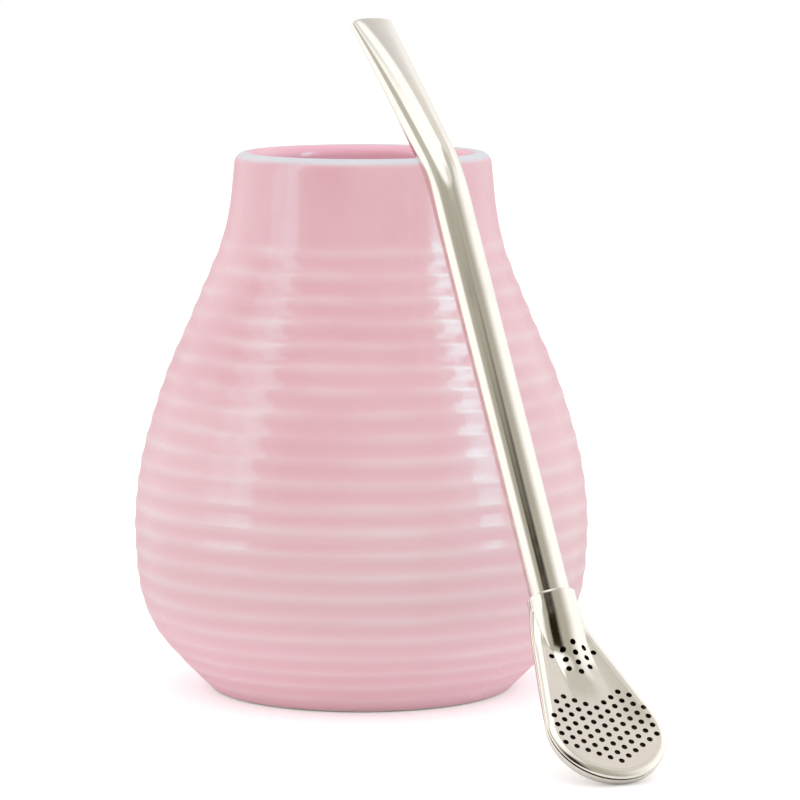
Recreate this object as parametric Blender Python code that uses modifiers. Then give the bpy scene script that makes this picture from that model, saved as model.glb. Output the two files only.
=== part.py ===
# A round-bellied ceramic cup with thrown ridges, and the metal filter straw
# that stands on its spoon in front of the cup and leans on the lip.
# Metres, +Z up. The cup's foot is centred on the origin, its front is -Y.

import math

import bmesh
import bpy
from mathutils import Matrix, Vector

MM = 0.001
MERGE_DISTANCE = 0.00001
SHARP_ANGLE = math.radians(40)
CURVE_STEPS = 40

# Cup: the wall's outer face as (radius, height), from the lip down to the foot
CUP_OUTER_LINE = ((27.5, 113.05), (28.6, 103.0), (30.65, 95.0), (36.8, 80.0), (41.95, 68.0),
                  (46.6, 53.0), (48.45, 42.0), (48.75, 33.0), (47.7, 22.0), (44.4, 13.5),
                  (38.3, 6.2), (33.6, 1.6))
# and its inner face, from the floor's edge up to the lip
CUP_INNER_LINE = ((20.0, 6.4), (33.0, 9.6), (40.9, 20.0), (43.6, 38.0), (39.5, 58.0),
                  (31.4, 80.0), (25.6, 94.0), (23.4, 103.0), (22.6, 113.05))
CUP_FLOOR_HEIGHT = 6.0
CUP_FOOT_RADIUS = 31.4
FOOT_EDGE_RADIUS = 32.5
FOOT_EDGE_HEIGHT = 0.45
LIP_STEPS = 6
NECK_POINTS = 5
INNER_POINTS = 15
RIDGE_COUNT = 22
FIRST_RIDGE = 16.8
RIDGE_PITCH = 5.06
PITCH_LOSS = 0.0128
FLUTE_DEPTH = 0.24
CUP_STEPS = 40

# Straw, in its own frame: +Z up the tube from the top of the collar, +X its front
TUBE_RADIUS = 4.1
TUBE_WALL = 0.5
TUBE_INSERTED = 4.4
TUBE_TO_BEND = 95.7
BEND_ANGLE = math.radians(19.7)
BEND_REACH = 6.0
MOUTH_LENGTH = 47.3
MOUTH_HALF_WIDTH = 4.8
MOUTH_HALF_HEIGHT = 1.7
FRONT_PRESSING = 2.6
BACK_PRESSING = 3
TUBE_SIDES = 20
TUBE_RINGS = 4
BEND_RINGS = 5
MOUTH_RINGS = 6

# Spoon: the inner faces of its two shells, on either side of a seam plane
# that leaves the collar along the tube and bends forward
SPOON_WALL = 0.5
SPOON_ANGLE = math.radians(19.5)
SPOON_BEND_CENTRE = 7.8
SPOON_BEND_REACH = 4.0
SLEEVE_BORE = 4.4
SLEEVE_STRAIGHT = 2.0
SLEEVE_TAPER = 0.7
TAPER_START = 5.0
TAPER_END = 16.0
SPOON_RADIUS = 11.85
SPOON_CENTRE = 33.5
SEAM_HALF_GAP = 0.15
SHOULDER_WIDTH = 1.2
SHOULDER_HEIGHT = 0.5
FACE_DISH = 0.5
BUMP_FILLET = 1.3
BOWL_DEPTH = 4.1
BOWL_SQUARENESS = 2.5
SPOON_SIDE_STATIONS = 14
SPOON_TIP_STATIONS = 16
SPOON_LEVELS = 8
SECTION_SAMPLES = 80

# Holes: rows of chevrons in the face, and a small group round the bump's end
HOLE_RADIUS = 0.56
HOLE_SIDES = 6
HOLE_DEPTH = 6.0
HOLE_PITCH = 2.285
FACE_ROWS = (3, 4, 4, 5, 5, 5, 5)
FACE_FIRST_ROW = 27.9
BUMP_FIRST_ROW = 12.65
BUMP_ROWS = 4
BUMP_ROW_PITCH = 2.1
BUMP_COLUMN_PITCH = 2.3
BESIDE_BUMP = 14.2

# How the straw stands: its own frame's place and lean in the world
STRAW_AZIMUTH = math.radians(24.5)
STRAW_LEAN = math.radians(31.7)
STRAW_FORWARD = 84.45
STRAW_SIDEWAYS = 3.5
STRAW_HEIGHT = 31.7

PINK_GLAZE = (0.79, 0.45, 0.50, 1.0)
STEEL = (0.76, 0.73, 0.67, 1.0)


def clear_scene():
    for old in list(bpy.data.objects):
        bpy.data.objects.remove(old, do_unlink=True)


def new_collection(name):
    collection = bpy.data.collections.new(name)
    bpy.context.scene.collection.children.link(collection)
    return collection


def new_material(name, colour, roughness, metallic):
    material = bpy.data.materials.new(name)
    material.use_nodes = True
    shader = material.node_tree.nodes["Principled BSDF"]
    shader.inputs["Base Color"].default_value = colour
    shader.inputs["Roughness"].default_value = roughness
    shader.inputs["Metallic"].default_value = metallic
    return material


def new_object(name, points, edges, faces, collection, material=None):
    mesh = bpy.data.meshes.new(name)
    mesh.from_pydata([Vector(point) * MM for point in points], edges, faces)
    mesh.update()
    obj = bpy.data.objects.new(name, mesh)
    collection.objects.link(obj)
    if material:
        mesh.materials.append(material)
    return obj


def smooth_line(anchors, spacing):
    # A Catmull-Rom curve through the anchors, read off at even steps of length.
    first = 2 * Vector(anchors[0]) - Vector(anchors[1])
    last = 2 * Vector(anchors[-1]) - Vector(anchors[-2])
    knots = [first] + [Vector(anchor) for anchor in anchors] + [last]
    fine = []
    for index in range(1, len(knots) - 2):
        before, start, end, after = knots[index - 1:index + 3]
        for step in range(CURVE_STEPS):
            t = step / CURVE_STEPS
            fine.append(0.5 * (2 * start + (end - before) * t
                               + (2 * before - 5 * start + 4 * end - after) * t ** 2
                               + (3 * start - before - 3 * end + after) * t ** 3))
    fine.append(Vector(anchors[-1]))
    return resample(fine, spacing)


def resample(fine, targets):
    # Points of a polyline at the given lengths from its start.
    travelled = [0.0]
    for start, end in zip(fine, fine[1:]):
        travelled.append(travelled[-1] + (end - start).length)
    if callable(targets):
        targets = targets(travelled[-1])
    result = []
    span = 0
    for target in targets:
        while span < len(fine) - 2 and travelled[span + 1] < target:
            span += 1
        length = travelled[span + 1] - travelled[span]
        share = min(1.0, (target - travelled[span]) / length) if length > 0 else 0.0
        result.append(fine[span].lerp(fine[span + 1], share))
    return result


def even_steps(count):
    return lambda length: [length * index / count for index in range(count + 1)]


def cup_outer_points():
    # The neck is plain. Below it each flute dips between two crests, which close up downwards.
    neck = [FIRST_RIDGE * index / NECK_POINTS for index in range(NECK_POINTS)]
    turns = [index / 2 for index in range(2 * RIDGE_COUNT - 1)]
    halves = [FIRST_RIDGE + RIDGE_PITCH * turn - PITCH_LOSS * turn ** 2 for turn in turns]
    line = smooth_line(CUP_OUTER_LINE, lambda length: neck + halves + [length])
    points = list(line)
    first = len(neck)
    for index in range(first + 1, first + len(halves), 2):
        along = (line[index + 1] - line[index - 1]).normalized()
        points[index] = line[index] + Vector((along.y, -along.x)) * FLUTE_DEPTH
    return points


def cup_profile():
    inner = smooth_line(CUP_INNER_LINE, even_steps(INNER_POINTS))
    lip_outer = Vector(CUP_OUTER_LINE[0])
    lip_inner = Vector(CUP_INNER_LINE[-1])
    lip_centre = (lip_outer + lip_inner) / 2
    lip_radius = (lip_outer - lip_inner).length / 2
    lip = []
    for index in range(1, LIP_STEPS):
        turn = math.pi * (1 - index / LIP_STEPS)
        lip.append(lip_centre + lip_radius * Vector((math.cos(turn), math.sin(turn))))
    foot = [Vector((FOOT_EDGE_RADIUS, FOOT_EDGE_HEIGHT)), Vector((CUP_FOOT_RADIUS, 0))]
    return ([Vector((0, CUP_FLOOR_HEIGHT))] + inner + lip + cup_outer_points()
            + foot + [Vector((0, 0))])


def make_cup(collection):
    profile = [(point.x, 0, point.y) for point in cup_profile()]
    edges = [(index, index + 1) for index in range(len(profile) - 1)]
    glaze = new_material("pink_glaze", PINK_GLAZE, 0.15, 0.0)
    cup = new_object("cup", profile, edges, [], collection, glaze)
    screw = cup.modifiers.new("turning", "SCREW")
    screw.axis = "Z"
    screw.angle = 2 * math.pi
    screw.steps = CUP_STEPS
    screw.render_steps = CUP_STEPS
    screw.use_merge_vertices = True
    screw.merge_threshold = MERGE_DISTANCE
    screw.use_smooth_shade = True
    return cup


def tube_stops():
    # The middle line's points in the XZ plane, each with its length from the foot
    # and its turn: up +Z, round a bend toward -X, then straight to the mouth.
    radius = BEND_REACH / math.tan(BEND_ANGLE / 2)
    bend_start = TUBE_TO_BEND - BEND_REACH
    straight = bend_start + TUBE_INSERTED
    stops = []
    for index in range(TUBE_RINGS):
        length = straight * index / TUBE_RINGS
        stops.append((Vector((0, 0, length - TUBE_INSERTED)), length, 0.0))
    for index in range(BEND_RINGS + 1):
        turn = BEND_ANGLE * index / BEND_RINGS
        point = Vector((radius * (math.cos(turn) - 1), 0, bend_start + radius * math.sin(turn)))
        stops.append((point, straight + radius * turn, turn))
    end, bent, turn = stops[-1]
    for index in range(1, MOUTH_RINGS + 1):
        step = (MOUTH_LENGTH - BEND_REACH) * index / MOUTH_RINGS
        stops.append((end + step * Vector((-math.sin(turn), 0, math.cos(turn))), bent + step, turn))
    return stops


def make_tube(collection, pose, steel):
    # A round tube that is pressed flat towards its mouth, from the bend's middle on:
    # the back soon after the bend, the front later.
    stops = tube_stops()
    press_start = TUBE_INSERTED + TUBE_TO_BEND
    press_length = stops[-1][1] - press_start
    points = []
    for centre, length, turn in stops:
        share = max(0.0, (length - press_start) / press_length)
        half_width = TUBE_RADIUS + (MOUTH_HALF_WIDTH - TUBE_RADIUS) * share
        front_pressed = share ** FRONT_PRESSING
        back_pressed = 1 - (1 - share) ** BACK_PRESSING
        out_front = TUBE_RADIUS + (MOUTH_HALF_HEIGHT - TUBE_RADIUS) * front_pressed
        out_back = TUBE_RADIUS + (MOUTH_HALF_HEIGHT - TUBE_RADIUS) * back_pressed
        front = Vector((math.cos(turn), 0, math.sin(turn)))
        for side in range(TUBE_SIDES):
            angle = 2 * math.pi * side / TUBE_SIDES
            out = out_front if math.cos(angle) > 0 else out_back
            points.append(centre + front * out * math.cos(angle)
                          + Vector((0, half_width * math.sin(angle), 0)))
    faces = []
    for ring in range(len(stops) - 1):
        for side in range(TUBE_SIDES):
            here = ring * TUBE_SIDES + side
            beside = ring * TUBE_SIDES + (side + 1) % TUBE_SIDES
            faces.append((here, beside, beside + TUBE_SIDES, here + TUBE_SIDES))
    tube = new_object("straw_tube", points, [], faces, collection, steel)
    tube.parent = pose
    wall = tube.modifiers.new("wall", "SOLIDIFY")
    wall.thickness = TUBE_WALL * MM
    wall.offset = -1
    tube.data.shade_smooth()
    tube.data.set_sharp_from_angle(angle=SHARP_ANGLE)
    return tube


def seam_frame(along):
    # The seam's centre line at a length below the collar's top: point, direction, front.
    start = SPOON_BEND_CENTRE - SPOON_BEND_REACH
    radius = SPOON_BEND_REACH / math.tan(SPOON_ANGLE / 2)
    turn = min(max((along - start) / radius, 0.0), SPOON_ANGLE)
    point = Vector((radius * (1 - math.cos(turn)), 0, -min(along, start) - radius * math.sin(turn)))
    direction = Vector((math.sin(turn), 0, -math.cos(turn)))
    beyond = along - start - radius * SPOON_ANGLE
    if beyond > 0:
        point += direction * beyond
    return point, direction, Vector((math.cos(turn), 0, math.sin(turn)))


def half_outline(along):
    # Half the spoon's width: the collar, a tangent line, then the round end.
    reach = SPOON_CENTRE - SLEEVE_STRAIGHT
    distance = math.hypot(reach, SLEEVE_BORE)
    slope = math.asin(SPOON_RADIUS / distance) - math.atan2(SLEEVE_BORE, reach)
    tangent = SPOON_CENTRE - SPOON_RADIUS * math.sin(slope)
    if along <= SLEEVE_STRAIGHT:
        return SLEEVE_BORE
    if along <= tangent:
        return SLEEVE_BORE + (along - SLEEVE_STRAIGHT) * math.tan(slope)
    return math.sqrt(max(0.0, SPOON_RADIUS ** 2 - (along - SPOON_CENTRE) ** 2))


def smooth_share(value, low, high):
    share = min(max((value - low) / (high - low), 0.0), 1.0)
    return share * share * (3 - 2 * share)


def front_height(along, inside, half):
    # The face stands on a rounded shoulder and dips in the middle. Over it the
    # half sleeve runs on straight down the tube's axis and narrows until it sinks in.
    shoulder = min(inside / SHOULDER_WIDTH, 1.0)
    face = SEAM_HALF_GAP + SHOULDER_HEIGHT * math.sqrt(1 - (1 - shoulder) ** 2)
    centred = (SPOON_RADIUS - inside) / (SPOON_RADIUS - SHOULDER_WIDTH)
    face -= FACE_DISH * (1 - min(centred, 1.0) ** 2)
    across = half - inside
    point, direction, front = seam_frame(along)
    bore = SLEEVE_BORE - SLEEVE_TAPER * smooth_share(along, TAPER_START, TAPER_END)
    square = bore ** 2 - across ** 2
    bump = (math.copysign(math.sqrt(abs(square)), square) - point.x) / front.x
    fillet = BUMP_FILLET * min(inside, 1.0)
    return (face + bump + math.hypot(face - bump, fillet)) / 2


def back_height(along, inside, half):
    # A half sleeve that opens out into a shallow bowl with an upright rim.
    blend = smooth_share(along, SLEEVE_STRAIGHT, SPOON_CENTRE)
    depth = SLEEVE_BORE + (BOWL_DEPTH - SLEEVE_BORE) * blend
    power = 2 + (BOWL_SQUARENESS - 2) * blend
    across = 1 - inside / half
    sunk = depth * (1 - across ** power) ** (1 / power)
    return -max(sunk, SEAM_HALF_GAP)


def section(along, turn, height):
    # Points from the outline to the middle line, at even steps of length.
    half = half_outline(along) if turn is None else SPOON_RADIUS
    flat = []
    for index in range(SECTION_SAMPLES + 1):
        inside = half * (1 - math.cos(math.pi / 2 * index / SECTION_SAMPLES))
        flat.append(Vector((half - inside, height(along, inside, half))))
    result = []
    for across, rise in resample(flat, even_steps(SPOON_LEVELS)):
        if turn is None:
            point, direction, front = seam_frame(along)
            result.append(point + Vector((0, across, 0)) + front * rise)
        else:
            point, direction, front = seam_frame(SPOON_CENTRE)
            result.append(point + direction * across * math.cos(turn)
                          + Vector((0, across * math.sin(turn), 0)) + front * rise)
    return result


def make_shell(name, height, outward, collection, pose, steel):
    # Columns run from the outline in to the middle line, and round the tip to its centre.
    columns = []
    for index in range(SPOON_SIDE_STATIONS):
        columns.append((SPOON_CENTRE * index / SPOON_SIDE_STATIONS, None))
    for index in range(SPOON_TIP_STATIONS // 2 + 1):
        columns.append((SPOON_CENTRE, math.pi / 2 - math.pi * index / SPOON_TIP_STATIONS))
    points = []
    faces = []
    for mirrored in (False, True):
        base = len(points)
        for along, turn in columns:
            for point in section(along, turn, height):
                points.append(Vector((point.x, -point.y if mirrored else point.y, point.z)))
        row = SPOON_LEVELS + 1
        for column in range(len(columns) - 1):
            for level in range(SPOON_LEVELS):
                here = base + column * row + level
                face = (here, here + 1, here + 1 + row, here + row)
                faces.append(face[::-1] if mirrored == outward else face)
    shell = new_object(name, points, [], faces, collection, steel)
    shell.parent = pose
    mesh = bmesh.new()
    mesh.from_mesh(shell.data)
    bmesh.ops.remove_doubles(mesh, verts=mesh.verts, dist=MERGE_DISTANCE)
    bmesh.ops.dissolve_degenerate(mesh, edges=mesh.edges, dist=MERGE_DISTANCE)
    mesh.to_mesh(shell.data)
    mesh.free()
    wall = shell.modifiers.new("wall", "SOLIDIFY")
    wall.thickness = SPOON_WALL * MM
    wall.offset = 1
    shell.data.shade_smooth()
    shell.data.set_sharp_from_angle(angle=SHARP_ANGLE)
    return shell


def hole_places():
    # Lengths below the collar's top and offsets across, for every hole.
    places = []
    column = HOLE_PITCH * math.sqrt(3) / 2
    for row, count in enumerate(FACE_ROWS):
        for step in range(-count, count + 1):
            along = FACE_FIRST_ROW + HOLE_PITCH * (row - abs(step) / 2)
            places.append((along, step * column))
    for row in range(BUMP_ROWS):
        places.append((BUMP_FIRST_ROW + BUMP_ROW_PITCH * row, 0.0))
    for side in (-1, 1):
        for row in range(BUMP_ROWS - 1):
            along = BUMP_FIRST_ROW + BUMP_ROW_PITCH * (row + 0.5)
            places.append((along, side * BUMP_COLUMN_PITCH))
        places.append((BESIDE_BUMP, side * 2 * BUMP_COLUMN_PITCH))
    return places


def drill_holes(shell, pose, collection):
    mesh = bmesh.new()
    for along, across in hole_places():
        point, direction, front = seam_frame(along)
        centre = (point + Vector((0, across, 0)) + front * HOLE_DEPTH / 2) * MM
        matrix = Matrix.Translation(centre) @ front.to_track_quat("Z", "Y").to_matrix().to_4x4()
        bmesh.ops.create_cone(mesh, cap_ends=True, segments=HOLE_SIDES, matrix=matrix,
                              radius1=HOLE_RADIUS * MM, radius2=HOLE_RADIUS * MM,
                              depth=HOLE_DEPTH * MM)
    data = bpy.data.meshes.new("hole_cutters")
    mesh.to_mesh(data)
    mesh.free()
    cutters = bpy.data.objects.new("hole_cutters", data)
    collection.objects.link(cutters)
    cutters.parent = pose
    cutters.hide_render = True
    cutters.display_type = "WIRE"
    holes = shell.modifiers.new("holes", "BOOLEAN")
    holes.operation = "DIFFERENCE"
    holes.solver = "EXACT"
    holes.object = cutters


def make_pose(collection):
    # The straw leans back by its own angle, turned about the cup's axis.
    pose = bpy.data.objects.new("straw_pose", None)
    collection.objects.link(pose)
    forward = Vector((math.sin(STRAW_AZIMUTH), -math.cos(STRAW_AZIMUTH), 0))
    sideways = Vector((math.cos(STRAW_AZIMUTH), math.sin(STRAW_AZIMUTH), 0))
    pose.location = (forward * STRAW_FORWARD + sideways * STRAW_SIDEWAYS
                     + Vector((0, 0, STRAW_HEIGHT))) * MM
    pose.rotation_euler = (0, -STRAW_LEAN, STRAW_AZIMUTH - math.pi / 2)
    return pose


def main():
    clear_scene()
    parts = new_collection("mate_cup_with_straw")
    cutters = new_collection("cutters")
    make_cup(parts)
    pose = make_pose(parts)
    make_tube(parts, pose, new_material("tube_steel", STEEL, 0.2, 1.0))
    front = make_shell("strainer_front", front_height, True, parts, pose,
                       new_material("strainer_front_steel", STEEL, 0.22, 1.0))
    drill_holes(front, pose, cutters)
    make_shell("strainer_back", back_height, False, parts, pose,
               new_material("strainer_back_steel", STEEL, 0.25, 1.0))
    bpy.context.view_layer.update()


main()
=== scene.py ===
import math

import bmesh
import bpy
from mathutils import Matrix, Vector, noise


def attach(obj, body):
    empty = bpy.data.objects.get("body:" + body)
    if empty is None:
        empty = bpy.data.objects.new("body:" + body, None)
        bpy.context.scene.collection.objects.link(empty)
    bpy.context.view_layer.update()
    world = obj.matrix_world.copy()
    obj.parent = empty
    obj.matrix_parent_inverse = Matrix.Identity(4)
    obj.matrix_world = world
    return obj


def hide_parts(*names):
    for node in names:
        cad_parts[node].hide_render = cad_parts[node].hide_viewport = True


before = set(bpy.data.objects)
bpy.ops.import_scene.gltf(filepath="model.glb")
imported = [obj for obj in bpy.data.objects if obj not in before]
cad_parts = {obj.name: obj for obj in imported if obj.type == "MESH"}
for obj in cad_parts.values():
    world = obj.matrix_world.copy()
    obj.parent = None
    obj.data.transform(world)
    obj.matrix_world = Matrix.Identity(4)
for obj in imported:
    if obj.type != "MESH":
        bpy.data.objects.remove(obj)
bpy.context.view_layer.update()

mm = 0.001
lineSteps = 40        # points between two anchors of a smooth line
sharpAngle = 40       # degrees: a fold sharper than this keeps its edge


# helpers that several pieces use

def smoothLine(anchors):
    # a Catmull-Rom line through the anchors
    first = 2 * Vector(anchors[0]) - Vector(anchors[1])
    last = 2 * Vector(anchors[-1]) - Vector(anchors[-2])
    knots = [first] + [Vector(anchor) for anchor in anchors] + [last]
    line = []
    for before, start, end, after in zip(knots, knots[1:], knots[2:], knots[3:]):
        for step in range(lineSteps):
            t = step / lineSteps
            line.append(0.5 * (2 * start + (end - before) * t
                               + (2 * before - 5 * start + 4 * end - after) * t ** 2
                               + (3 * start - before - 3 * end + after) * t ** 3))
    return line + [Vector(anchors[-1])]


def lineLength(line):
    return sum((end - start).length for start, end in zip(line, line[1:]))


def pointsAlong(line, lengths):
    # the line's points at those lengths from its start, in rising order
    found = []
    travelled = 0.0
    span = 0
    for length in lengths:
        step = (line[span + 1] - line[span]).length
        while span < len(line) - 2 and travelled + step < length:
            travelled += step
            span += 1
            step = (line[span + 1] - line[span]).length
        share = min(1.0, (length - travelled) / step) if step > 0 else 0.0
        found.append(line[span].lerp(line[span + 1], share))
    return found


def evenSteps(length, count):
    return [length * index / count for index in range(count + 1)]


def smoothStep(value, low, high):
    share = min(max((value - low) / (high - low), 0.0), 1.0)
    return share * share * (3 - 2 * share)


def addPiece(name, mesh, finishes, node):
    # turns a finished bmesh into an object that stands for a CAD node
    data = bpy.data.meshes.new(name)
    mesh.to_mesh(data)
    mesh.free()
    for finish in finishes:
        data.materials.append(finish)
    data.shade_smooth()
    data.set_sharp_from_angle(angle=math.radians(sharpAngle))
    piece = bpy.data.objects.new(name, data)
    bpy.context.scene.collection.objects.link(piece)
    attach(piece, "root")
    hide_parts(node)
    return piece


# nodes: short ways to write a shader tree

def addNode(tree, kind, settings=None, **values):
    # makes a node, sets its properties, and fills or links its inputs, by name or as in0, in1
    node = tree.nodes.new(kind)
    for key, value in (settings or {}).items():
        setattr(node, key, value)
    for key, value in values.items():
        socket = node.inputs[int(key[2:])] if key.startswith("in") else node.inputs[key]
        setInput(tree, socket, value)
    return node


def setInput(tree, socket, value):
    if isinstance(value, bpy.types.NodeSocket):
        tree.links.new(value, socket)
    else:
        socket.default_value = value


def doMath(tree, operation, *values, clamp=False):
    node = tree.nodes.new("ShaderNodeMath")
    node.operation = operation
    node.use_clamp = clamp
    for socket, value in zip(node.inputs, values):
        setInput(tree, socket, value)
    return node.outputs[0]


def mixColours(tree, share, low, high):
    node = tree.nodes.new("ShaderNodeMix")
    node.data_type = "RGBA"
    setInput(tree, node.inputs["Factor"], share)
    setInput(tree, node.inputs["A"], low)
    setInput(tree, node.inputs["B"], high)
    return node.outputs["Result"]


def mapRange(tree, value, fromLow, fromHigh, toLow, toHigh):
    node = tree.nodes.new("ShaderNodeMapRange")
    node.interpolation_type = "SMOOTHSTEP"
    setInput(tree, node.inputs["Value"], value)
    ends = {"From Min": fromLow, "From Max": fromHigh, "To Min": toLow, "To Max": toHigh}
    for name, number in ends.items():
        setInput(tree, node.inputs[name], number)
    return node.outputs["Result"]


def readAttribute(tree, name):
    node = tree.nodes.new("ShaderNodeAttribute")
    node.attribute_name = name
    return node.outputs["Fac"]


def newMaterial(name):
    material = bpy.data.materials.new(name)
    material.use_nodes = True
    return material, material.node_tree, material.node_tree.nodes["Principled BSDF"]


# the studio: camera, pale floor, a white room with a darker front, and tall soft boxes, a weaker
# one to the left of each strong one

studio = {
    "cameraPlace": (0.0083, -0.939, 0.177),
    "cameraTilt": 6.98,           # degrees below level
    "cameraLens": 198.2,          # millimetres on a 36 mm sensor
    "floorSize": 8.0,
    "floorColour": (0.93, 0.93, 0.93, 1.0),
    "floorRoughness": 0.9,
    "floorLift": 0.28,            # light added to the paper for the camera alone
    "softLight": (1.12, 1.12, 1.12, 1.0),   # what falls on dull surfaces, the same from all sides
    "walls": 1.3,                 # and what the gloss mirrors
    "ceiling": 0.9,
    "ceilingEdges": (30, 65),     # degrees up over which the walls turn into it
    "backWall": 0.8,              # how much of the walls' light the far side keeps
    "backWallEdges": (125, 165),  # degrees round over which it sets in
    "boxes": ((-77, 0.7), (-63, 1.5), (55, 0.4), (68, 2.0)),   # degrees from the camera, watts
    "boxDistance": 0.9,
    "boxWidth": 0.22,
    "boxHeight": 0.8,
    "boxAim": 0.06,               # the height on the cup that they face
    "boxColours": ((0.66, 0.84, 0.86), (0.65, 1.0, 1.0)),      # left and right
    # one more, for the gloss alone: degrees, watts, and the heights it spans
    "glint": (69, 0.45, 0.42, 0.64),
}

# areas of the room by direction, in degrees round from the camera (right is positive) and up:
# each fades in from the left and from below, and out to the right and above; some lie aslant
roomAreas = [
    {"left": (-100, -85), "right": (-20, 15), "low": (56, 62), "high": (91, 92), "slant": 0.14,
     "colour": (1.38, 1.38, 1.36)},
    {"left": (-181, -180), "right": (180, 181), "low": (68, 76), "high": (91, 92), "slant": 0.0,
     "colour": (1.38, 1.38, 1.36)},
    {"left": (-112, -98), "right": (-50, -40), "low": (20, 27), "high": (42, 50), "slant": 0.0,
     "colour": (0.60, 0.60, 0.54)},
    {"left": (48, 62), "right": (104, 114), "low": (54, 60), "high": (74, 80), "slant": 0.0,
     "colour": (0.66, 0.65, 0.60)},
    {"left": (104, 112), "right": (138, 146), "low": (38, 48), "high": (68, 74), "slant": 0.0,
     "colour": (0.88, 0.84, 0.82)},
    {"left": (-76, -58), "right": (36, 96), "low": (-91, -90), "high": (53, 59), "slant": 0.14,
     "colour": (0.51, 0.49, 0.43)},
    {"left": (-50, -40), "right": (-14, 10), "low": (-91, -90), "high": (51.7, 56), "slant": 0.37,
     "colour": (0.02, 0.015, 0.005)},
]


def addCamera():
    data = bpy.data.cameras.new("camera")
    data.lens = studio["cameraLens"]
    camera = bpy.data.objects.new("camera", data)
    camera.location = studio["cameraPlace"]
    camera.rotation_euler = (math.radians(90 - studio["cameraTilt"]), 0, 0)
    bpy.context.scene.collection.objects.link(camera)
    bpy.context.scene.camera = camera


def addFloor():
    mesh = bmesh.new()
    bmesh.ops.create_grid(mesh, x_segments=1, y_segments=1, size=studio["floorSize"] / 2)
    data = bpy.data.meshes.new("floor")
    mesh.to_mesh(data)
    mesh.free()
    material, tree, shader = newMaterial("floorPaper")
    shader.inputs["Base Color"].default_value = studio["floorColour"]
    shader.inputs["Roughness"].default_value = studio["floorRoughness"]
    shader.inputs["Specular IOR Level"].default_value = 0.0
    shader.inputs["Emission Color"].default_value = (1.0, 1.0, 1.0, 1.0)
    seen = addNode(tree, "ShaderNodeLightPath").outputs["Is Camera Ray"]
    lift = doMath(tree, "MULTIPLY", seen, studio["floorLift"])
    tree.links.new(lift, shader.inputs["Emission Strength"])
    data.materials.append(material)
    floor = bpy.data.objects.new("floor", data)
    bpy.context.scene.collection.objects.link(floor)


def addSurroundings():
    world = bpy.data.worlds.new("studio")
    bpy.context.scene.world = world
    world.use_nodes = True
    tree = world.node_tree
    direction = addNode(tree, "ShaderNodeTexCoord").outputs["Generated"]
    parts = addNode(tree, "ShaderNodeSeparateXYZ", Vector=direction).outputs
    toCamera = doMath(tree, "MULTIPLY", parts["Y"], -1.0)
    around = doMath(tree, "DEGREES", doMath(tree, "ARCTAN2", parts["X"], toCamera))
    height = doMath(tree, "DEGREES", doMath(tree, "ARCSINE", parts["Z"]))
    plain = mapRange(tree, height, *studio["ceilingEdges"], studio["walls"], studio["ceiling"])
    away = doMath(tree, "ABSOLUTE", around)
    behind = mapRange(tree, away, *studio["backWallEdges"], 1.0, studio["backWall"])
    plain = doMath(tree, "MULTIPLY", plain, behind)
    light = addNode(tree, "ShaderNodeCombineXYZ", X=plain, Y=plain, Z=plain).outputs[0]
    for area in roomAreas:
        level = doMath(tree, "SUBTRACT", height, doMath(tree, "MULTIPLY", around, area["slant"]))
        share = 1.0
        for value, edges, ends in ((around, area["left"], (0, 1)), (around, area["right"], (1, 0)),
                                   (level, area["low"], (0, 1)), (level, area["high"], (1, 0))):
            share = doMath(tree, "MULTIPLY", share, mapRange(tree, value, *edges, *ends))
        light = mixColours(tree, share, light, (*area["colour"], 1.0))
    rays = addNode(tree, "ShaderNodeLightPath").outputs
    light = mixColours(tree, rays["Is Diffuse Ray"], light, studio["softLight"])
    light = mixColours(tree, rays["Is Camera Ray"], light, (1.0, 1.0, 1.0, 1.0))
    tree.links.new(light, tree.nodes["Background"].inputs["Color"])


def addSoftBox(degrees, power, low, high, lit):
    angle = math.radians(degrees)
    data = bpy.data.lights.new("softBox", "AREA")
    data.shape = "RECTANGLE"
    data.size = studio["boxWidth"]
    data.size_y = high - low
    data.energy = power
    data.color = studio["boxColours"][0 if degrees < 0 else 1]
    box = bpy.data.objects.new("softBox", data)
    place = Vector((math.sin(angle), -math.cos(angle), 0)) * studio["boxDistance"]
    place.z = (low + high) / 2
    box.location = place
    aim = Vector((0, 0, studio["boxAim"])) - place
    box.rotation_euler = aim.to_track_quat("-Z", "Y").to_euler()
    box.visible_camera = False
    box.light_linking.receiver_collection = lit
    box.light_linking.blocker_collection = lit
    bpy.context.scene.collection.objects.link(box)
    return box


def addSoftBoxes(piece):
    # they light the cup alone: the straw shows the room
    lit = bpy.data.collections.new("litBySoftBoxes")
    lit.objects.link(piece)
    for degrees, power in studio["boxes"]:
        addSoftBox(degrees, power, 0, studio["boxHeight"], lit)
    addSoftBox(*studio["glint"], lit).visible_diffuse = False


addCamera()
addFloor()
addSurroundings()
bpy.context.scene.view_settings.view_transform = "Standard"
print("camera, floor and room are up")


# the cup: a turned wall with thrown ridges, finely spun

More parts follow.
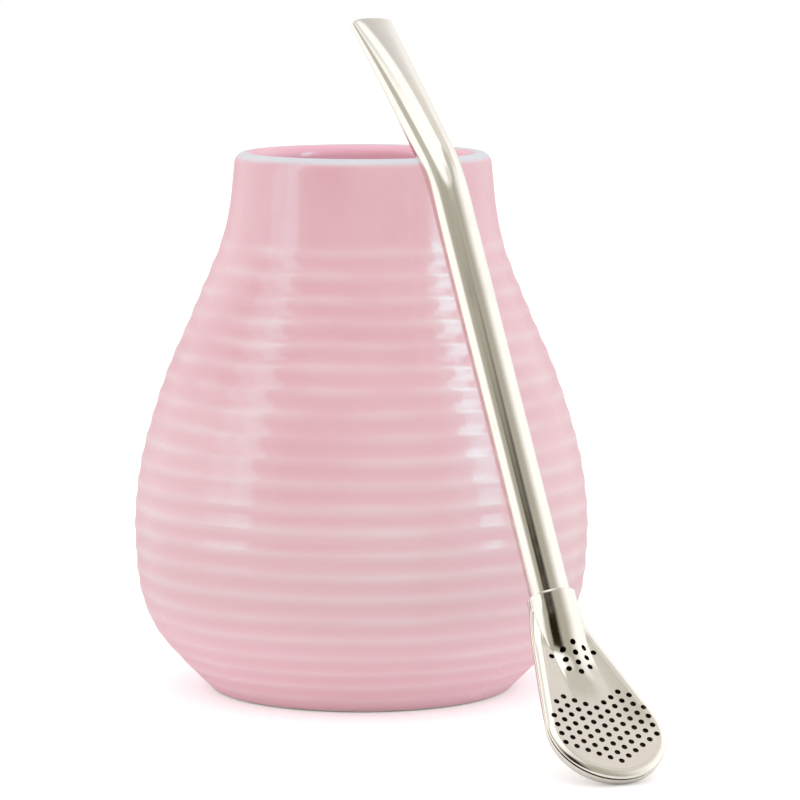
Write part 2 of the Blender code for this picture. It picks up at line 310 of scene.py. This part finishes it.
cup = {
    "outerLine": [(27.5, 113.05), (28.6, 103.0), (30.65, 95.0), (36.8, 80.0),
                  (41.95, 68.0), (46.6, 53.0), (48.45, 42.0), (48.75, 33.0),
                  (47.7, 22.0), (44.4, 13.5), (38.3, 6.2), (33.6, 1.6)],
    "innerLine": [(20.0, 6.4), (33.0, 9.6), (40.9, 20.0), (43.6, 38.0), (39.5, 58.0),
                  (31.4, 80.0), (25.6, 94.0), (23.4, 103.0), (22.6, 113.05)],
    "floorHeight": 6.0,
    "footEdge": [(32.5, 0.45), (31.4, 0.0)],
    # the ring it stands on, and the hollow inside it
    "footRing": [(27.6, 0.0), (26.6, 0.9), (24.0, 1.3)],
    "ridgeCount": 22,
    "firstRidge": 17.1,           # along the wall from the lip
    "ridgePitch": 5.06,
    "pitchLoss": 0.0128,          # they close up a little towards the foot
    "fluteDepth": 0.22,
    "fluteShape": 1.2,            # above 1 the flutes are narrower and the ridges' tops broader
    "fluteFade": 0.55,            # the flutes near the foot are shallower by this share
    "fadeFrom": 88.0,             # along the wall from the lip, as below
    "fadeTo": 108.0,
    "ridgeWander": 0.35,          # how far a ridge strays up and down the wall
    "wanderGrain": (2, 0.13),     # how fast that changes round the wall and along it
    "ridgeBand": 1.1,             # half the width over which the glaze thins on a ridge
    "thinning": (0.42, 0.66),     # and how much, on the upper and the lower ridges
    "thinningFrom": 55.0,
    "thinningTo": 80.0,
    "thinningSpread": 0.5,        # how unevenly it thins
    "thinningGrain": (3, 7.3),    # and how fast that changes round a ridge and from one to the next
    "wallStep": 0.4,
    "turnSteps": 180,
    "lipSteps": 12,
    "innerSteps": 60,
    "weld": 0.00001,              # metres within which points become one
    "neckLean": 0.4,              # the neck was thrown a little off to the right
    "leanFrom": 86.0,             # heights
    "leanTo": 106.0,
}


def noiseRound(around, height, grain):
    return noise.noise(Vector((around.x * grain[0], around.y * grain[0], height * grain[1])))


def fluteDepthAt(along, place):
    # how deep the surface lies below the ridges' tops, and how thin the glaze is there
    around = Vector((place.x, place.y, 0)).normalized()
    wander = cup["ridgeWander"] * noiseRound(around, along, cup["wanderGrain"])
    pitch, loss = cup["ridgePitch"], cup["pitchLoss"]
    fromFirst = along + wander - cup["firstRidge"]
    turns = (pitch - math.sqrt(max(0.0, pitch ** 2 - 4 * loss * fromFirst))) / (2 * loss)
    nearest = min(max(round(turns), 0), cup["ridgeCount"] - 1)
    away = abs(turns - nearest) * (pitch - 2 * loss * nearest)
    upper, lower = cup["thinning"]
    strength = upper + (lower - upper) * smoothStep(along, cup["thinningFrom"], cup["thinningTo"])
    strength += cup["thinningSpread"] * noiseRound(around, nearest, cup["thinningGrain"])
    crest = strength * math.exp(-(away / cup["ridgeBand"]) ** 2)
    if turns < 0 or turns > cup["ridgeCount"] - 1:
        return 0.0, crest
    faded = cup["fluteFade"] * smoothStep(along, cup["fadeFrom"], cup["fadeTo"])
    depth = cup["fluteDepth"] * (1 - faded)
    return depth * math.sin(math.pi * (turns - math.floor(turns))) ** cup["fluteShape"], crest


def makeCup(material):
    outer = smoothLine(cup["outerLine"])
    inner = smoothLine(cup["innerLine"])
    outerLength = lineLength(outer)
    innerPoints = pointsAlong(inner, evenSteps(lineLength(inner), cup["innerSteps"]))
    outerSteps = evenSteps(outerLength, round(outerLength / cup["wallStep"]))
    outerPoints = pointsAlong(outer, outerSteps)
    centre = (outer[0] + inner[-1]) / 2
    radius = (outer[0] - inner[-1]).length / 2
    lip = []
    for step in range(1, cup["lipSteps"]):
        turn = math.pi * (1 - step / cup["lipSteps"])
        lip.append(centre + radius * Vector((math.cos(turn), math.sin(turn))))
    foot = [Vector(point) for point in cup["footEdge"] + cup["footRing"]]
    insideFloor = Vector((0, cup["floorHeight"]))
    underFloor = Vector((0, cup["footRing"][-1][1]))
    profile = [insideFloor] + innerPoints + lip + outerPoints + foot + [underFloor]
    mesh = bmesh.new()
    alongLayer = mesh.verts.layers.float.new("along")
    crestLayer = mesh.verts.layers.float.new("crest")
    insideLayer = mesh.verts.layers.float.new("inside")
    verts = [mesh.verts.new((point.x * mm, 0, point.y * mm)) for point in profile]
    firstOuter = 1 + len(innerPoints) + len(lip)
    for index, vert in enumerate(verts):
        step = index - firstOuter
        vert[alongLayer] = outerSteps[step] if 0 <= step < len(outerSteps) else -1.0
        within = index < firstOuter
        vert[insideLayer] = smoothStep(firstOuter - index, 0, len(lip)) if within else 0.0
    edges = [mesh.edges.new(pair) for pair in zip(verts, verts[1:])]
    bmesh.ops.spin(mesh, geom=verts + edges, cent=(0, 0, 0), axis=(0, 0, 1), dvec=(0, 0, 0),
                   angle=2 * math.pi, steps=cup["turnSteps"], use_merge=True,
                   use_normal_flip=False, use_duplicate=False)
    bmesh.ops.remove_doubles(mesh, verts=mesh.verts, dist=cup["weld"])
    bmesh.ops.recalc_face_normals(mesh, faces=mesh.faces)
    mesh.normal_update()
    for vert in mesh.verts:
        along = vert[alongLayer]
        if along >= 0:
            depth, crest = fluteDepthAt(along, vert.co)
            vert[crestLayer] = crest
            vert.co -= vert.normal * depth * mm
        leaning = smoothStep(vert.co.z / mm, cup["leanFrom"], cup["leanTo"])
        vert.co.x += cup["neckLean"] * mm * leaning
    return addPiece("cupShell", mesh, [material], "cup")


# the straw's own frame: +Z up the tube from the collar's top, +X its front

stance = {
    "azimuth": 24.5,              # which way it leans, degrees round from the camera
    "lean": 31.7,                 # degrees from upright
    "forward": 84.45,
    "sideways": 3.5,
    "height": 31.7,
}


def strawMatrix():
    azimuth = math.radians(stance["azimuth"])
    forward = Vector((math.sin(azimuth), -math.cos(azimuth), 0))
    aside = Vector((math.cos(azimuth), math.sin(azimuth), 0))
    place = (forward * stance["forward"] + aside * stance["sideways"]
             + Vector((0, 0, stance["height"])))
    lean = Matrix.Rotation(-math.radians(stance["lean"]), 4, "Y")
    turn = Matrix.Rotation(azimuth - math.pi / 2, 4, "Z") @ lean
    return Matrix.Translation(place * mm) @ turn @ Matrix.Scale(mm, 4)


tube = {
    "radius": 4.1,
    "wall": 0.5,
    "inserted": 4.4,              # how far it reaches down inside the collar
    "toBend": 95.7,
    "bendAngle": 19.7,
    "bendReach": 6.0,
    "mouthLength": 47.1,
    "mouthHalfWidth": 4.8,
    "mouthHalfHeight": 1.7,
    "frontPressing": 2.6,         # the front is pressed flat late, near the mouth
    "backPressing": 3,            # and the back soon after the bend
    "mouthSquareness": 2.5,
    "sides": 72,
    "straightRings": 24,
    "bendRings": 14,
    "mouthRings": 40,
    "rimSteps": 8,
    "weld": 0.0005,               # millimetres, as in the spoon
}


def tubeStops():
    # the middle line as (centre, length from the foot, turn)
    bend = math.radians(tube["bendAngle"])
    radius = tube["bendReach"] / math.tan(bend / 2)
    bendStart = tube["toBend"] - tube["bendReach"]
    straight = bendStart + tube["inserted"]
    stops = []
    for length in evenSteps(straight, tube["straightRings"])[:-1]:
        stops.append((Vector((0, 0, length - tube["inserted"])), length, 0.0))
    for turn in evenSteps(bend, tube["bendRings"]):
        point = Vector((radius * (math.cos(turn) - 1), 0, bendStart + radius * math.sin(turn)))
        stops.append((point, straight + radius * turn, turn))
    end, bent, turn = stops[-1]
    ahead = Vector((-math.sin(turn), 0, math.cos(turn)))
    for step in evenSteps(tube["mouthLength"] - tube["bendReach"], tube["mouthRings"])[1:]:
        stops.append((end + ahead * step, bent + step, turn))
    return stops


def ringPoints(stop, inward, total):
    # one loop round the tube: round below, pressed to a flat oval towards the mouth
    centre, length, turn = stop
    pressStart = tube["inserted"] + tube["toBend"]
    share = max(0.0, (length - pressStart) / (total - pressStart))
    halfWidth = tube["radius"] + (tube["mouthHalfWidth"] - tube["radius"]) * share - inward
    pressed = share ** tube["frontPressing"]
    backPressed = 1 - (1 - share) ** tube["backPressing"]
    outFront = tube["radius"] + (tube["mouthHalfHeight"] - tube["radius"]) * pressed - inward
    outBack = tube["radius"] + (tube["mouthHalfHeight"] - tube["radius"]) * backPressed - inward
    power = 2 + (tube["mouthSquareness"] - 2) * pressed
    front = Vector((math.cos(turn), 0, math.sin(turn)))
    points = []
    for side in range(tube["sides"]):
        angle = 2 * math.pi * side / tube["sides"]
        across, out = math.sin(angle), math.cos(angle)
        size = (abs(across) ** power + abs(out) ** power) ** (-1 / power)
        height = (outFront if out > 0 else outBack) * out * size
        points.append(centre + front * height + Vector((0, halfWidth * across * size, 0)))
    return points


def rimRings(stop, way):
    # a half-round edge at one end, from the outside to the inside
    centre, length, turn = stop
    half = tube["wall"] / 2
    ahead = Vector((-math.sin(turn), 0, math.cos(turn))) * way
    rings = []
    for step in range(tube["rimSteps"] + 1):
        angle = math.pi * step / tube["rimSteps"]
        slide = ahead * half * (math.sin(angle) - 1)
        rings.append(((centre + slide, length, turn), half * (1 - math.cos(angle))))
    return rings


def makeTube(material):
    stops = tubeStops()
    total = stops[-1][1]
    rings = [(stop, 0.0) for stop in stops[1:-1]] + rimRings(stops[-1], 1)
    rings += [(stop, tube["wall"]) for stop in reversed(stops[1:-1])] + rimRings(stops[0], -1)[::-1]
    mesh = bmesh.new()
    bmesh.ops.create_circle(mesh, cap_ends=False, segments=tube["sides"], radius=tube["radius"])
    loop = list(mesh.verts)
    edges = list(mesh.edges)
    for vert, point in zip(loop, ringPoints(*rings[0], total)):
        vert.co = point
    for stop, inward in rings[1:] + rings[:1]:
        made = bmesh.ops.extrude_edge_only(mesh, edges=edges)["geom"]
        fresh = {item for item in made if isinstance(item, bmesh.types.BMVert)}
        edges = [item for item in made
                 if isinstance(item, bmesh.types.BMEdge) and set(item.verts) <= fresh]
        loop = [next(edge.other_vert(vert) for edge in vert.link_edges
                     if edge.other_vert(vert) in fresh) for vert in loop]
        for vert, point in zip(loop, ringPoints(stop, inward, total)):
            vert.co = point
    bmesh.ops.remove_doubles(mesh, verts=mesh.verts, dist=tube["weld"])
    bmesh.ops.transform(mesh, matrix=strawMatrix(), verts=mesh.verts)
    bmesh.ops.recalc_face_normals(mesh, faces=mesh.faces)
    return addPiece("drinkingTube", mesh, [material], "straw_tube")


# the spoon: two pressed shells on either side of a seam that bends forward below the collar

spoon = {
    "wall": 0.5,
    "angle": 19.5,
    "bendCentre": 7.8,
    "bendReach": 4.0,
    "sleeveBore": 4.4,
    "sleeveStraight": 2.0,
    "sleeveTaper": 0.7,           # the sleeve's front narrows as it sinks into the face
    "taperStart": 5.0,
    "taperEnd": 16.0,
    "radius": 11.64,
    "centre": 33.5,
    "seamHalfGap": 0.15,
    "shoulderWidth": 1.2,
    "shoulderHeight": 0.5,
    "faceDish": 0.5,
    "bumpFillet": 1.8,
    "bowlDepth": 4.1,
    "bowlSquareness": 2.5,
    "edgeRound": 0.12,
    "edgeAngle": 50,              # degrees: folds sharper than this are rounded
    "edgeSegments": 2,
    "edgeStep": 0.16,             # close rows near the rim, where the pressing turns
    "edgeRows": 14,
    "innerRows": 24,
    "sideStations": 64,
    "tipStations": 34,
    "sectionSteps": 160,
    "weld": 0.002,
    "smallestEdge": 0.001,
    "rimGroove": 0.05,
    "rimGrooveInside": 1.2,
    "rimGrooveWidth": 0.1,
}


def seamFrame(along):
    # the seam's middle line at a length below the collar's top: point, direction, front
    angle = math.radians(spoon["angle"])
    start = spoon["bendCentre"] - spoon["bendReach"]
    radius = spoon["bendReach"] / math.tan(angle / 2)
    turn = min(max((along - start) / radius, 0.0), angle)
    point = Vector((radius * (1 - math.cos(turn)), 0, -min(along, start) - radius * math.sin(turn)))
    direction = Vector((math.sin(turn), 0, -math.cos(turn)))
    point += direction * max(0.0, along - start - radius * angle)
    return point, direction, Vector((math.cos(turn), 0, math.sin(turn)))


def halfOutline(along):
    # half the spoon's width: the collar, a tangent line, then the round end
    reach = spoon["centre"] - spoon["sleeveStraight"]
    slope = (math.asin(spoon["radius"] / math.hypot(reach, spoon["sleeveBore"]))
             - math.atan2(spoon["sleeveBore"], reach))
    tangent = spoon["centre"] - spoon["radius"] * math.sin(slope)
    if along <= spoon["sleeveStraight"]:
        return spoon["sleeveBore"]
    if along <= tangent:
        return spoon["sleeveBore"] + (along - spoon["sleeveStraight"]) * math.tan(slope)
    return math.sqrt(max(0.0, spoon["radius"] ** 2 - (along - spoon["centre"]) ** 2))


def frontHeight(along, inside, half):
    # a face on a rounded shoulder, dipping in the middle, with the half sleeve sinking into it
    shoulder = min(inside / spoon["shoulderWidth"], 1.0)
    face = spoon["seamHalfGap"] + spoon["shoulderHeight"] * math.sqrt(1 - (1 - shoulder) ** 2)
    centred = (spoon["radius"] - inside) / (spoon["radius"] - spoon["shoulderWidth"])
    face -= spoon["faceDish"] * (1 - min(centred, 1.0) ** 2)
    fromGroove = (inside - spoon["rimGrooveInside"]) / spoon["rimGrooveWidth"]
    face -= spoon["rimGroove"] * math.exp(-fromGroove ** 2)
    across = half - inside
    point, _, front = seamFrame(along)
    taper = spoon["sleeveTaper"] * smoothStep(along, spoon["taperStart"], spoon["taperEnd"])
    bore = spoon["sleeveBore"] - taper
    square = bore ** 2 - across ** 2
    bump = (math.copysign(math.sqrt(abs(square)), square) - point.x) / front.x
    fillet = spoon["bumpFillet"] * min(inside, 1.0)
    return (face + bump + math.hypot(face - bump, fillet)) / 2


def backHeight(along, inside, half):
    # a half sleeve that opens out into a shallow bowl with an upright rim
    blend = smoothStep(along, spoon["sleeveStraight"], spoon["centre"])
    depth = spoon["sleeveBore"] + (spoon["bowlDepth"] - spoon["sleeveBore"]) * blend
    power = 2 + (spoon["bowlSquareness"] - 2) * blend
    across = 1 - inside / half
    return -max(depth * (1 - across ** power) ** (1 / power), spoon["seamHalfGap"])


def sectionPoints(along, turn, height):
    # from the outline in to the middle line, close together near the rim
    half = spoon["radius"] if turn is not None else halfOutline(along)
    flat = []
    for step in range(spoon["sectionSteps"] + 1):
        inside = half * (1 - math.cos(math.pi / 2 * step / spoon["sectionSteps"]))
        flat.append(Vector((half - inside, height(along, inside, half))))
    length = lineLength(flat)
    closest = min(spoon["edgeStep"], length / (spoon["edgeRows"] + spoon["innerRows"]))
    edge = closest * spoon["edgeRows"]
    rows = evenSteps(edge, spoon["edgeRows"])[:-1]
    rows += [edge + step for step in evenSteps(length - edge, spoon["innerRows"])]
    points = []
    for across, rise in pointsAlong(flat, rows):
        point, direction, front = seamFrame(along)
        if turn is not None:
            point = point + direction * across * math.cos(turn)
            across *= math.sin(turn)
        points.append(point + Vector((0, across, 0)) + front * rise)
    return points


def pressShell(height, outward):
    # a grid laid over one half, mirrored across the middle line
    count = spoon["sideStations"]
    stations = [(spoon["centre"] * index / count, None) for index in range(count)]
    for step in range(spoon["tipStations"] + 1):
        stations.append((spoon["centre"], math.pi / 2 * (1 - step / spoon["tipStations"])))
    sections = [sectionPoints(along, turn, height) for along, turn in stations]
    rows = spoon["edgeRows"] + spoon["innerRows"]
    mesh = bmesh.new()
    bmesh.ops.create_grid(mesh, x_segments=rows, y_segments=len(stations) - 1, size=1.0)
    for vert in mesh.verts:
        row = round((vert.co.x + 1) / 2 * rows)
        station = round((vert.co.y + 1) / 2 * (len(stations) - 1))
        vert.co = sections[station][row]
    bmesh.ops.mirror(mesh, geom=mesh.verts[:] + mesh.edges[:] + mesh.faces[:], axis="Y",
                     matrix=Matrix.Identity(4), merge_dist=0.0)
    bmesh.ops.remove_doubles(mesh, verts=mesh.verts, dist=spoon["weld"])
    bmesh.ops.dissolve_degenerate(mesh, edges=mesh.edges, dist=spoon["smallestEdge"])
    bmesh.ops.recalc_face_normals(mesh, faces=mesh.faces)
    bmesh.ops.transform(mesh, matrix=strawMatrix(), verts=mesh.verts)
    mesh.normal_update()
    front = seamFrame(spoon["centre"])[2]
    facing = (strawMatrix().to_3x3() @ front).normalized() * (1 if outward else -1)
    if sum(face.normal.dot(facing) * face.calc_area() for face in mesh.faces) < 0:
        bmesh.ops.reverse_faces(mesh, faces=mesh.faces)
    return mesh


holes = {
    "radius": 0.6,
    "sides": 18,
    "depth": 6.0,
    "pitch": 2.285,
    "faceRows": (3, 4, 4, 5, 5, 5, 5),   # columns either side of the middle in each chevron
    "faceFirstRow": 27.9,
    "bumpFirstRow": 12.65,
    "bumpRows": 4,
    "bumpRowPitch": 2.1,
    "bumpColumnPitch": 2.3,
    "besideBump": 14.2,
    "edgeClear": 1.15,            # the outermost holes keep this far from the edge
}


def holePlaces():
    # lengths below the collar's top and offsets across
    places = []
    column = holes["pitch"] * math.sqrt(3) / 2
    for row, count in enumerate(holes["faceRows"]):
        for step in range(-count, count + 1):
            along = holes["faceFirstRow"] + holes["pitch"] * (row - abs(step) / 2)
            widest = halfOutline(along) - holes["edgeClear"]
            places.append((along, min(max(step * column, -widest), widest)))
    for row in range(holes["bumpRows"]):
        places.append((holes["bumpFirstRow"] + holes["bumpRowPitch"] * row, 0.0))
    for side in (-1, 1):
        for row in range(holes["bumpRows"] - 1):
            along = holes["bumpFirstRow"] + holes["bumpRowPitch"] * (row + 0.5)
            places.append((along, side * holes["bumpColumnPitch"]))
        places.append((holes["besideBump"], side * 2 * holes["bumpColumnPitch"]))
    return places


def makePunches(material):
    # one pin for each hole, square to the face below the bend and to the sleeve above it
    mesh = bmesh.new()
    for along, across in holePlaces():
        point, _, front = seamFrame(along)
        base = point + Vector((0, across, 0)) + front * holes["depth"] / 2
        turn = front.to_track_quat("Z", "Y").to_matrix().to_4x4()
        bmesh.ops.create_cone(mesh, cap_ends=True, segments=holes["sides"], radius1=holes["radius"],
                              radius2=holes["radius"], depth=holes["depth"],
                              matrix=Matrix.Translation(base) @ turn)
    bmesh.ops.transform(mesh, matrix=strawMatrix(), verts=mesh.verts)
    data = bpy.data.meshes.new("punches")
    mesh.to_mesh(data)
    mesh.free()
    data.materials.append(material)
    punches = bpy.data.objects.new("punches", data)
    bpy.context.scene.collection.objects.link(punches)
    return punches


def makeShell(name, height, outward, finishes, node, punched):
    mesh = pressShell(height, outward)
    data = bpy.data.meshes.new(name + "Blank")
    mesh.to_mesh(data)
    mesh.free()
    for finish in finishes:
        data.materials.append(finish)
    blank = bpy.data.objects.new(name + "Blank", data)
    bpy.context.scene.collection.objects.link(blank)
    wall = blank.modifiers.new("wall", "SOLIDIFY")
    wall.thickness = spoon["wall"] * mm
    wall.offset = 1
    # the inner faces take the second finish, which is painted shade
    wall.material_offset = 1
    edge = blank.modifiers.new("edge", "BEVEL")
    edge.limit_method = "ANGLE"
    edge.angle_limit = math.radians(spoon["edgeAngle"])
    edge.width = spoon["edgeRound"] * mm
    edge.segments = spoon["edgeSegments"]
    punches = makePunches(finishes[0]) if punched else None
    if punched:
        cut = blank.modifiers.new("punching", "BOOLEAN")
        cut.operation = "DIFFERENCE"
        cut.solver = "EXACT"
        cut.material_mode = "TRANSFER"
        cut.object = punches
    bpy.context.view_layer.update()
    shaped = blank.evaluated_get(bpy.context.evaluated_depsgraph_get())
    mesh = bmesh.new()
    mesh.from_mesh(shaped.to_mesh())
    for spent in (blank, punches):
        if spent:
            bpy.data.objects.remove(spent, do_unlink=True)
    return addPiece(name, mesh, finishes, node)


# finishes

glaze = {
    "body": (0.665, 0.375, 0.41, 1.0),
    "bodyDeep": (0.645, 0.345, 0.385, 1.0),
    "cloudScale": 60.0,           # how closely these two are mingled
    "cloudEdges": (0.35, 0.65),
    "belly": (0.67, 0.393, 0.426, 1.0),     # a little paler from the belly down
    "bellyHeights": (0.040, 0.075),         # heights and radii are in metres here
    "foot": (0.93, 0.55, 0.62, 1.0),        # and again towards the foot: painted light against the shade near the floor
    "footLightHeights": (0.0, 0.028),
    "footLightShare": 0.9,
    "crest": (0.70, 0.52, 0.53, 1.0),       # where the glaze is thin on a ridge
    # the thin glaze on the ridges near the foot, painted paler still as light against the shade
    # under the ridges
    "footCrest": (0.95, 0.68, 0.71, 1.0),
    "crestShare": 0.8,
    # the lip: paler where the glaze thins, with a painted bluish highlight on it
    "lip": (0.575, 0.575, 0.61, 1.0),
    "lipHeights": (0.1137, 0.1151),
    "lipRadii": (0.0236, 0.0250),           # it stops short of the inner edge
    "lipShare": 0.9,
    # the inside: a lighter, pinker copy of the glaze, painted light against the shade in the deep
    # cup
    "inside": (0.80, 0.40, 0.48, 1.0),
    "bareClay": (0.80, 0.70, 0.62, 1.0),    # what the cup stands on
    "clayHeights": (0.0003, 0.0006),
    "roughness": 0.13,
    "edgeRoughness": 0.52,        # the gloss blurs where it is seen edge on
    "edgeFacing": (0.5, 0.85),
    "gloss": (0.4, 1.0, 1.0, 1.0),
    "rippleScale": 260.0,
    "rippleStrength": 0.15,
    "rippleDepth": 0.0004,
}

steel = {
    "colour": (0.83, 0.79, 0.72, 1.0),
    "stained": (0.14, 0.11, 0.07, 1.0),     # the spoon's inside, painted dark as shade so that the holes look black
    "tubeRoughness": 0.09,
    "pressedRoughness": 0.10,
    "stainedRoughness": 0.45,
    "wornShare": 0.9,             # how much of its colour the steel keeps where it is worn
    "bumpStrength": 0.25,
    "bumpDepth": 0.000004,
}

# the steel's wear: each range is the noise it starts and ends at, then what it gives there
wear = {
    "stretch": (1.0, 1.0, 0.04),  # drawing lines run up the straw
    "drawnScale": 2600.0,
    "smudgeScale": 130.0,
    "spotScale": 1500.0,
    "spots": (0.66, 0.76, 0.0, 0.5),
    "spotPlaces": (0.45, 0.65, 0.0, 1.0),
    "smudges": (0.45, 0.75, 0.0, 0.6),
    "grain": (0.3, 0.7, 0.85, 1.2),         # these two multiply the roughness
    "haze": (0.4, 0.7, 0.9, 1.5),
    "spotRoughness": 0.2,
}


def makeGlaze():
    material, tree, shader = newMaterial("pinkGlaze")
    place = addNode(tree, "ShaderNodeTexCoord").outputs["Object"]
    z = addNode(tree, "ShaderNodeSeparateXYZ", Vector=place).outputs["Z"]
    flat = addNode(tree, "ShaderNodeVectorMath", {"operation": "MULTIPLY"},
                   in0=place, in1=(1, 1, 0)).outputs[0]
    away = addNode(tree, "ShaderNodeVectorMath", {"operation": "LENGTH"}, in0=flat).outputs["Value"]
    cloud = addNode(tree, "ShaderNodeTexNoise", Vector=place,
                    Scale=glaze["cloudScale"], Detail=3.0).outputs["Fac"]
    mingled = mapRange(tree, cloud, *glaze["cloudEdges"], 0.0, 1.0)
    colour = mixColours(tree, mingled, glaze["bodyDeep"], glaze["body"])
    onBelly = mapRange(tree, z, *glaze["bellyHeights"], 1.0, 0.0)
    colour = mixColours(tree, onBelly, colour, glaze["belly"])
    # painted light: the glaze turns paler towards the foot, against the shade near the floor
    footLightening = mapRange(tree, z, *glaze["footLightHeights"], glaze["footLightShare"], 0.0)
    colour = mixColours(tree, footLightening, colour, glaze["foot"])
    crestColour = mixColours(tree, footLightening, glaze["crest"], glaze["footCrest"])
    thin = doMath(tree, "MULTIPLY", readAttribute(tree, "crest"), glaze["crestShare"], clamp=True)
    colour = mixColours(tree, thin, colour, crestColour)
    # painted light: the lighter copy of the glaze on the cup's inside
    colour = mixColours(tree, readAttribute(tree, "inside"), colour, glaze["inside"])
    # the lip band: thin glaze with a painted highlight
    onLip = doMath(tree, "MULTIPLY",
                   mapRange(tree, z, *glaze["lipHeights"], 0.0, glaze["lipShare"]),
                   mapRange(tree, away, *glaze["lipRadii"], 0.0, 1.0))
    colour = mixColours(tree, onLip, colour, glaze["lip"])
    bare = mapRange(tree, z, *glaze["clayHeights"], 1.0, 0.0)
    colour = mixColours(tree, bare, colour, glaze["bareClay"])
    tree.links.new(colour, shader.inputs["Base Color"])
    facing = addNode(tree, "ShaderNodeLayerWeight").outputs["Facing"]
    blurred = mapRange(tree, facing, *glaze["edgeFacing"],
                       glaze["roughness"], glaze["edgeRoughness"])
    tree.links.new(blurred, shader.inputs["Roughness"])
    shader.inputs["Specular Tint"].default_value = glaze["gloss"]
    ripple = addNode(tree, "ShaderNodeTexNoise", Vector=place,
                     Scale=glaze["rippleScale"], Detail=2.0).outputs["Fac"]
    bump = addNode(tree, "ShaderNodeBump", Height=ripple,
                   Strength=glaze["rippleStrength"], Distance=glaze["rippleDepth"])
    tree.links.new(bump.outputs["Normal"], shader.inputs["Normal"])
    return material


def makeSteelWear():
    # drawing lines, smudges and fine spots for polished steel, in the straw's own directions
    group = bpy.data.node_groups.new("steelWear", "ShaderNodeTree")
    for name, kind in (("Place", "NodeSocketVector"), ("Polished", "NodeSocketColor"),
                       ("Worn", "NodeSocketColor"), ("Base Roughness", "NodeSocketFloat")):
        group.interface.new_socket(name, in_out="INPUT", socket_type=kind)
    for name, kind in (("Colour", "NodeSocketColor"), ("Roughness", "NodeSocketFloat"),
                       ("Height", "NodeSocketFloat")):
        group.interface.new_socket(name, in_out="OUTPUT", socket_type=kind)
    given = group.nodes.new("NodeGroupInput").outputs
    result = group.nodes.new("NodeGroupOutput").inputs
    line = addNode(group, "ShaderNodeMapping", Vector=given["Place"],
                   Scale=wear["stretch"]).outputs[0]
    drawn = addNode(group, "ShaderNodeTexNoise", Vector=line,
                    Scale=wear["drawnScale"], Detail=3.0).outputs["Fac"]
    smudge = addNode(group, "ShaderNodeTexNoise", Vector=given["Place"],
                     Scale=wear["smudgeScale"], Detail=4.0).outputs["Fac"]
    spots = addNode(group, "ShaderNodeTexNoise", Vector=given["Place"],
                    Scale=wear["spotScale"], Detail=2.0).outputs["Fac"]
    spotMask = doMath(group, "MULTIPLY", mapRange(group, spots, *wear["spots"]),
                      mapRange(group, smudge, *wear["spotPlaces"]))
    smudgeMask = mapRange(group, smudge, *wear["smudges"])
    wornMask = doMath(group, "ADD", smudgeMask, spotMask, clamp=True)
    group.links.new(mixColours(group, wornMask, given["Polished"], given["Worn"]), result["Colour"])
    grain = mapRange(group, drawn, *wear["grain"])
    haze = mapRange(group, smudge, *wear["haze"])
    uneven = doMath(group, "MULTIPLY", grain, haze)
    rough = doMath(group, "MULTIPLY", uneven, given["Base Roughness"])
    spotRough = doMath(group, "MULTIPLY", spotMask, wear["spotRoughness"])
    group.links.new(doMath(group, "ADD", rough, spotRough), result["Roughness"])
    group.links.new(doMath(group, "SUBTRACT", drawn, spotMask), result["Height"])
    return group


def makeSteel(name, colour, roughness):
    material, tree, shader = newMaterial(name)
    stood = strawMatrix()
    place = addNode(tree, "ShaderNodeTexCoord").outputs["Object"]
    place = addNode(tree, "ShaderNodeMapping", {"vector_type": "TEXTURE"}, Vector=place,
                    Location=stood.translation, Rotation=stood.to_euler()).outputs[0]
    worn = addNode(tree, "ShaderNodeGroup", {"node_tree": steelWear}, Place=place, Polished=colour,
                   Worn=[steel["wornShare"] * part for part in colour[:3]] + [1.0])
    worn.inputs["Base Roughness"].default_value = roughness
    tree.links.new(worn.outputs["Colour"], shader.inputs["Base Color"])
    tree.links.new(worn.outputs["Roughness"], shader.inputs["Roughness"])
    shader.inputs["Metallic"].default_value = 1.0
    bump = addNode(tree, "ShaderNodeBump", Height=worn.outputs["Height"],
                   Strength=steel["bumpStrength"], Distance=steel["bumpDepth"])
    tree.links.new(bump.outputs["Normal"], shader.inputs["Normal"])
    return material


steelWear = makeSteelWear()
addSoftBoxes(makeCup(makeGlaze()))
print("cup turned")
makeTube(makeSteel("tubeSteel", steel["colour"], steel["tubeRoughness"])).visible_diffuse = False
print("tube drawn")
# the second finish is painted shade for the shells' insides
spoonFinishes = [makeSteel("pressedSteel", steel["colour"], steel["pressedRoughness"]),
                 makeSteel("stainedSteel", steel["stained"], steel["stainedRoughness"])]
makeShell("spoonFace", frontHeight, True, spoonFinishes, "strainer_front", True)
makeShell("spoonBack", backHeight, False, spoonFinishes, "strainer_back", False)
print("spoon pressed")
